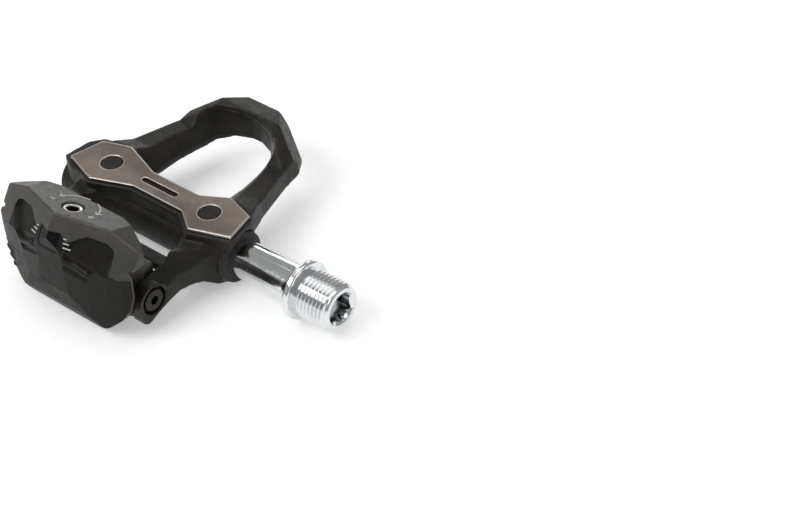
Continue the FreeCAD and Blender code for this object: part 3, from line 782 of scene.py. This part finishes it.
# ---- spindle -----------------------------------------------------------------------------------
@dataclass
class CrankSpindle:
    """The turned shaft, with its left-hand crank thread, ringed flange and hexagon socket."""

    thread_radius: float = 7.14 * MM
    pitch: float = 1.27 * MM
    thread_depth: float = 0.72 * MM
    relief_length: float = 1.3 * MM
    socket_across: float = 8.0 * MM
    socket_depth: float = 9.0 * MM
    columns: int = 216

    def build(self, finishes: Finishes) -> bpy.types.Object:
        """Turn the whole spindle as one skin and dress it."""
        low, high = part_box("spindle")
        along, radius = self.profile(low.x, high.x)
        radius = np.repeat(radius[:, None], self.columns, axis=1)
        radius = self.cut_thread(along, radius)
        along, radius = self.add_socket(along, radius, high.x)
        points, faces = turned(along, radius, self.columns)
        piece = new_piece("spindle_turned", points, faces, Body.SPINDLE, 38.0)
        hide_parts("spindle")
        finishes.dress(piece, "chrome")
        return piece

    def profile(self, low: float, high: float) -> tuple[Array, Array]:
        """The shaft's outline from its nut end to its crank end, as rings.

        Args:
            low: nut end on the axis.
            high: crank end on the axis.

        Returns:
            Places of the rings and their radii.
        """
        outline = [(low, 0.0), (low, 2.2), (low + 0.3 * MM, 2.5)]
        outline += [(self.race_end(), 2.5), (self.race_end(), 3.0)]
        middle = PLATFORM_MM
        steps = [(middle - 21.8, 3.0), (middle - 21.8, 4.0), (middle + 14.0, 4.0), (middle + 14.0, 4.5)]
        steps += [(middle + 27.2, 4.5), (middle + 27.2, 5.45), (middle + 31.0, 5.45), (middle + 31.4, 5.5)]
        steps += [(-4.6, 6.02), (-3.3, 6.1), (-2.75, 6.35), (-2.3, 6.9), (-2.1, 7.3), (-2.1, 8.05)]
        steps += [(-1.98, 8.35), (-1.72, 8.56), (-1.5, 8.6), (-1.42, 8.48), (-1.30, 8.48), (-1.22, 8.62)]
        steps += [(-0.95, 8.62), (-0.87, 8.50), (-0.75, 8.50), (-0.67, 8.62), (-0.45, 8.60), (-0.2, 8.45)]
        steps += [(-0.05, 8.2), (0.0, 7.95), (0.0, 6.9)]
        outline += [(x * MM, r) for x, r in steps]
        along = np.array([x for x, _ in outline])
        radius = np.array([r for _, r in outline]) * MM
        thread_rows = np.linspace(0.05 * MM, high - 0.02 * MM, 210)
        chamfer = 1.15 * MM
        cone = self.thread_radius - np.clip(thread_rows - (high - chamfer), 0.0, None) * 0.9
        along = np.concatenate([along, thread_rows])
        radius = np.concatenate([radius, cone])
        return along, radius

    @staticmethod
    def race_end() -> float:
        """Where the lock nut's thread meets the bearing seat."""
        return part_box("ball_inner_race")[0].x

    def cut_thread(self, along: Array, radius: Array) -> Array:
        """Sink a left-hand V groove into the rings of the crank end.

        The groove's depth follows a rounded triangle wave of x / pitch + angle / turn, fades in past
        the relief next to the flange, and never stands proud of the end's chamfer.

        Args:
            along: place of each ring.
            radius: rings by columns radii.

        Returns:
            The radii with the thread cut.
        """
        turn = np.linspace(0.0, 1.0, self.columns, endpoint=False)
        phase = (along[:, None] / self.pitch + turn) % 1.0
        wave = np.clip(np.abs(2.0 * phase - 1.0) * 1.22 - 0.14, 0.0, 1.0)
        wave = wave * wave * (3.0 - 2.0 * wave) * 0.35 + wave * 0.65
        fade = np.clip((along[:, None] - self.relief_length) / (0.6 * self.pitch), 0.0, 1.0)
        threaded = self.thread_radius - self.thread_depth * (1.0 - wave * fade)
        neck = self.thread_radius - self.thread_depth * 1.05
        threaded = np.where(along[:, None] < self.relief_length, np.maximum(neck, threaded), threaded)
        return np.where(along[:, None] > 0.01 * MM, np.minimum(radius, threaded), radius)

    def add_socket(self, along: Array, radius: Array, high: float) -> tuple[Array, Array]:
        """Carry the skin over the end face and down the hexagon socket.

        The socket's radius at angle t is half its width over the cosine of t's distance from the
        middle of its flat.

        Args:
            along: place of each ring.
            radius: rings by columns radii.
            high: crank end on the axis.

        Returns:
            The longer lists of rings and radii.
        """
        angle = np.linspace(0.0, 2.0 * math.pi, self.columns, endpoint=False)
        sixth = math.pi / 3.0
        off_flat = (angle + sixth / 2.0) % sixth - sixth / 2.0
        flat_radius = self.socket_across / 2.0 / np.cos(off_flat)
        round_ring = np.ones(self.columns)
        floor = high - self.socket_depth
        rings = [
            (high, 5.75 * MM * round_ring),
            (high, 4.95 * MM * round_ring),
            (high - 0.12 * MM, 4.86 * MM * round_ring),
            (high - 0.55 * MM, np.maximum(flat_radius, 4.35 * MM)),
            (high - 0.85 * MM, flat_radius),
            (high - 4.0 * MM, flat_radius),
            (floor, flat_radius),
            (floor - 0.02 * MM, 3.4 * MM * round_ring),
            (floor - 1.2 * MM, 0.4 * MM * round_ring),
        ]
        places = np.concatenate([along, [x for x, _ in rings]])
        return places, np.vstack([radius] + [r for _, r in rings])


# ---- platform ----------------------------------------------------------------------------------
@dataclass
class PlatformPlugs:
    """The two black plugs that hold the steel plate, each with a slightly dished, chamfered head."""

    radius: float = 3.3 * MM
    offset: float = 19.25 * MM
    columns: int = 96

    def build(self, finishes: Finishes) -> bpy.types.Object:
        """Turn both plugs and dress them."""
        low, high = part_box("plate_rivets")
        top = high.z - low.z
        side = self.radius - 0.02 * MM
        neck = self.radius * 0.6
        profile = np.array([
            (0.0, top - 0.10 * MM), (1.6 * MM, top - 0.08 * MM), (2.7 * MM, top),
            (self.radius - 0.25 * MM, top), (side, top - 0.25 * MM), (side, top - 0.80 * MM),
            (neck, top - 0.82 * MM), (neck, 0.0),
        ])
        parts = []
        for side in (-1.0, 1.0):
            points, faces = turned(profile[::-1, 1], profile[::-1, 0], self.columns)
            upright = np.stack([points[:, 1], points[:, 2], points[:, 0]], axis=1)
            parts.append((upright + np.array([PLATFORM_X + side * self.offset, 0.0, low.z]), faces))
        piece = new_piece("platform_plugs", *joined(parts), Body.PEDAL)
        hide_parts("plate_rivets")
        finishes.dress(piece, "plug")
        return piece


# ---- latch marks -------------------------------------------------------------------------------
@dataclass
class LatchMarks:
    """The printed turn arrows, plus and minus on the latch's top, and the tension marks behind."""

    tilt_deg: float = 19.2
    screw_y: float = -31.1 * MM
    screw_top: float = 22.97 * MM
    crest_y: float = -37.8 * MM
    arc_radius: float = 7.35 * MM
    line_width: float = 0.30 * MM
    ink_low: float = -0.05 * MM
    ink_high: float = 0.045 * MM

    @property
    def top(self) -> Sheet:
        """The latch's tilted top face, about the tension screw."""
        t = math.radians(self.tilt_deg)
        origin = np.array([PLATFORM_X, self.screw_y, self.screw_top])
        return Sheet(origin, np.array([1.0, 0.0, 0.0]), np.array([0.0, math.cos(t), -math.sin(t)]))

    def facet(self, hand: float) -> Sheet:
        """One of the two facets behind the top face, from the middle of its upper edge.

        Args:
            hand: -1 for the outboard facet, 1 for the inboard one.

        Returns:
            The facet, with its second direction up the slope.
        """
        out = np.array([hand * 0.301, -0.785, 0.5425])
        out /= np.linalg.norm(out)
        across = np.cross(np.array([0.0, 0.0, 1.0]), out)
        across /= np.linalg.norm(across)
        rise = math.tan(math.radians(self.tilt_deg)) * (self.screw_y - self.crest_y)
        origin = np.array([PLATFORM_X, self.crest_y, self.screw_top + rise])
        return Sheet(origin, across, np.cross(out, across))

    def arc(self, start_deg: float, end_deg: float) -> tuple[Array, list]:
        """An arc about the screw, drawn anticlockwise from start to end."""
        t = np.radians(np.linspace(start_deg, end_deg, 40))
        line = self.arc_radius * np.stack([np.cos(t), np.sin(t)], axis=1)
        return stroke(self.top, line, self.line_width, self.ink_low, self.ink_high)

    def arrow(self, at_deg: float, turn: float) -> list[tuple[Array, list]]:
        """Two barbs at an arc's end.

        Args:
            at_deg: where the arc ends.
            turn: 1 if the arrow points anticlockwise, -1 if clockwise.

        Returns:
            The two barbs.
        """
        t = math.radians(at_deg)
        tip = self.arc_radius * np.array([math.cos(t), math.sin(t)])
        back = -turn * np.array([-math.sin(t), math.cos(t)])
        side = np.array([math.cos(t), math.sin(t)])
        barbs = []
        for hand in (-1.0, 1.0):
            end = tip + 1.15 * MM * back + hand * 0.95 * MM * side
            barbs.append(self.line(self.top, tip, end))
        return barbs

    def line(self, sheet: Sheet, start: Array, end: Array) -> tuple[Array, list]:
        """A straight printed line."""
        share = np.linspace(0.0, 1.0, 4)[:, None]
        return stroke(sheet, start + (end - start) * share, self.line_width, self.ink_low, self.ink_high)

    def build(self, finishes: Finishes) -> bpy.types.Object:
        """Print every mark as thin raised ink."""
        flat = np.array
        parts = [self.arc(97.0, 164.0), self.arc(18.0, 74.0)]
        parts += self.arrow(166.0, 1.0) + self.arrow(15.0, -1.0)
        minus, plus = flat([-7.1, -1.0]) * MM, flat([7.45, -0.6]) * MM
        half = 0.95 * MM
        parts.append(self.line(self.top, minus - flat([half, 0]), minus + flat([half, 0])))
        parts.append(self.line(self.top, plus - flat([half, 0]), plus + flat([half, 0])))
        parts.append(self.line(self.top, plus - flat([0, half]), plus + flat([0, half])))
        for hand in (-1.0, 1.0):
            sheet = self.facet(hand)
            for length, drop in ((0.9, 6.6), (1.8, 7.8), (2.5, 9.0)):
                start = flat([hand * 3.75, -drop]) * MM
                end = start + flat([hand * length, -0.13 * length]) * MM
                parts.append(self.line(sheet, start, end))
        piece = new_piece("latch_print", *joined(parts), Body.LATCH)
        finishes.dress(piece, "ink")
        return piece


# ---- tension screw -----------------------------------------------------------------------------
@dataclass
class TensionScrew:
    """The release-tension screw: a blacked head with a rubbed rim round its hexagon socket."""

    head_radius: float = 3.0 * MM
    shank_radius: float = 2.0 * MM
    head_thick: float = 2.2 * MM
    head_sink: float = 0.4 * MM
    length: float = 13.4 * MM
    socket_across: float = 3.2 * MM
    rim_inner: float = 1.9 * MM
    rim_outer: float = 2.55 * MM
    rim_depth: float = 0.5 * MM
    columns: int = 144

    def build(self, finishes: Finishes, sheet: Sheet) -> bpy.types.Object:
        """Turn the screw on its axis and dress it.

        Args:
            finishes: the finishes to dress it from.
            sheet: the latch's top face, centred on the screw.

        Returns:
            The screw, which stands for its node.
        """
        places, radii = self.rings()
        points, faces = turned(places, radii, self.columns)
        across = points[:, 1:2] * sheet.across + points[:, 2:3] * np.cross(sheet.out, sheet.across)
        placed = sheet.origin + points[:, :1] * sheet.out + across
        piece = new_piece("tension_screw_turned", placed, faces, Body.LATCH)
        radius = np.hypot(points[:, 1], points[:, 2])
        rim = (radius > self.rim_inner) & (radius < self.rim_outer)
        rim &= points[:, 0] > -self.head_sink - self.rim_depth
        edge = piece.data.attributes.new("edge", "FLOAT", "POINT")
        edge.data.foreach_set("value", rim.astype(np.float64))
        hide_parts("tension_screw")
        finishes.dress(piece, "screw")
        return piece

    def rings(self) -> tuple[Array, Array]:
        """Rings from the shank's tip to the socket's floor, with a hexagon inside the rim."""
        turn = np.linspace(0.0, 2.0 * math.pi, self.columns, endpoint=False)
        sixth = math.pi / 3.0
        hexagon = self.socket_across / 2.0 / np.cos((turn + sixth / 2.0) % sixth - sixth / 2.0)
        circle = np.ones(self.columns) * MM
        top = -self.head_sink
        seat = top - self.head_thick
        tip = seat - self.length
        shank, head = self.shank_radius / MM, self.head_radius / MM
        rings = [
            (tip, 0.6 * shank * circle), (tip + 0.4 * MM, shank * circle), (seat, shank * circle),
            (seat, (head - 0.1) * circle), (seat + 0.1 * MM, head * circle), (top - 0.30 * MM, head * circle),
            (top - 0.08 * MM, (head - 0.12) * circle), (top, (head - 0.35) * circle), (top, 2.56 * circle),
            (top - 0.02 * MM, 2.50 * circle), (top - 0.03 * MM, 2.2 * circle), (top - 0.32 * MM, hexagon),
            (top - 0.5 * MM, 0.985 * hexagon), (top - 1.6 * MM, 0.98 * hexagon),
            (top - 1.85 * MM, 0.6 * circle),
        ]
        return np.array([place for place, _ in rings]), np.vstack([radius for _, radius in rings])


# ---- carried-over nodes ------------------------------------------------------------------------
PLAIN_NODES = {
    "barrel_band": "bearing",
    "needle_cup": "bearing",
    "needle_cage": "cage",
    "bearing_needles": "bearing",
    "ball_outer_race": "bearing",
    "ball_inner_race": "bearing",
    "bearing_balls": "bearing",
    "ball_cage": "cage",
    "shaft_seal": "rubber",
    "lock_nut": "bearing",
    "end_cap": "body",
    "cap_seal": "rubber",
    "hinge_pin": "bearing",
    "hinge_screws": "black_steel",
    "stop_pin": "black_steel",
    "hinge_bushes": "bush",
    "torsion_spring_inboard": "spring",
    "torsion_spring_outboard": "spring",
    "tension_window": "window",
    "tension_nut": "bearing",
    "tension_indicator": "marker",
}


def dress_nodes(finishes: Finishes) -> None:
    """Give each carried-over node its finish."""
    for node, key in PLAIN_NODES.items():
        finishes.dress(frame["nodes"][node], key)
        log.info("%s: dressed as %s", node, key)


# ---- studio ------------------------------------------------------------------------------------
@dataclass
class Studio:
    """A pale floor, soft lights and the camera."""

    eye: tuple[float, float, float] = (318.08 * MM, -317.45 * MM, 376.39 * MM)
    target: tuple[float, float, float] = (10.17 * MM, 24.43 * MM, 0.0)
    roll_deg: float = 3.227
    lens: float = 98.72
    floor_gap: float = 0.2 * MM
    floor_half: float = 6.0
    floor_glow: float = 0.34
    sky_strength: float = 0.36

    def build(self) -> None:
        """Set the floor, the lights and the camera."""
        self.floor()
        self.sky()
        self.softbox("key", (-0.35, -0.75, 0.95), (0.9, 0.6), 7.0)
        self.softbox("top", (-0.25, 0.25, 1.15), (0.9, 0.9), 3.0)
        self.softbox("edge", (-0.9, 0.9, 0.35), (0.9, 0.35), 2.2)
        self.softbox("fill", (1.1, 0.15, 0.45), (0.6, 0.6), 1.5)
        self.camera()

    def floor(self) -> None:
        """A wide pale sheet under the object, with a little light of its own so that it reads white."""
        low = min(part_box(node)[0].z for node in frame["nodes"])
        half = self.floor_half
        corners = np.array([(-half, -half), (half, -half), (half, half), (-half, half)])
        points = np.column_stack([corners, np.full(4, low - self.floor_gap)])
        mesh = bpy.data.meshes.new("floor")
        mesh.from_pydata(points.tolist(), [], [[0, 1, 2, 3]])
        floor = bpy.data.objects.new("floor", mesh)
        bpy.context.scene.collection.objects.link(floor)
        paper = Shader("pale paper")
        paper.colour(paper.blend(paper.noise(0.4, 2.0), (0.90, 0.90, 0.90), (0.88, 0.88, 0.88)))
        white = (1.0, 1.0, 1.0, 1.0)
        paper.set(Roughness=0.9, Emission_Color=white, Emission_Strength=self.floor_glow)
        mesh.materials.append(paper.done())

    def sky(self) -> None:
        """An even pale surround."""
        world = bpy.data.worlds.new("studio")
        world.use_nodes = True
        background = world.node_tree.nodes["Background"]
        background.inputs["Color"].default_value = (1.0, 1.0, 1.0, 1.0)
        background.inputs["Strength"].default_value = self.sky_strength
        bpy.context.scene.world = world

    def softbox(
        self, name: str, place: tuple[float, float, float], size: tuple[float, float], power: float
    ) -> None:
        """A rectangular area light that faces the pedal.

        Args:
            name: the light's name.
            place: where it stands, in metres.
            size: width and height, in metres.
            power: watts.
        """
        light = bpy.data.lights.new(name, "AREA")
        light.shape = "RECTANGLE"
        light.size, light.size_y = size
        light.energy = power
        lamp = bpy.data.objects.new(name, light)
        bpy.context.scene.collection.objects.link(lamp)
        lamp.location = place
        middle = Vector((PLATFORM_X, 0.0, 0.0))
        lamp.rotation_euler = (middle - Vector(place)).to_track_quat("-Z", "Y").to_euler()

    def camera(self) -> None:
        """The camera, aimed at the target and leaned by the roll."""
        data = bpy.data.cameras.new("camera")
        data.lens = self.lens
        data.sensor_width = 36.0
        data.clip_start = 0.01
        camera = bpy.data.objects.new("camera", data)
        bpy.context.scene.collection.objects.link(camera)
        aim = (Vector(self.target) - Vector(self.eye)).to_track_quat("-Z", "Y")
        lean = Quaternion((0.0, 0.0, 1.0), -math.radians(self.roll_deg))
        camera.location = self.eye
        camera.rotation_mode = "QUATERNION"
        camera.rotation_quaternion = aim @ lean
        bpy.context.scene.camera = camera


def main() -> None:
    """Build every piece and the studio, and note the sizes."""
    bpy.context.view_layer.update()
    bpy.context.scene.view_settings.view_transform = "Standard"
    finishes = Finishes()
    dress_nodes(finishes)
    SoftMoulding("body_moulding", "pedal_body", Body.PEDAL, 0.34 * MM, 5, 0.5).build(finishes, "body")
    pressing = SoftMoulding("plate_pressing", "platform_plate", Body.PEDAL, 0.19 * MM, 2, 0.6, 8)
    pressing.build(finishes, "plate")
    LatchMoulding("latch_moulding", "rear_latch", Body.LATCH, 0.25 * MM, 3, 0.6).build(finishes, "latch")
    CrankSpindle().build(finishes)
    PlatformPlugs().build(finishes)
    marks = LatchMarks()
    marks.build(finishes)
    TensionScrew().build(finishes, marks.top)
    Studio().build()


if __name__ == "__main__":
    main()
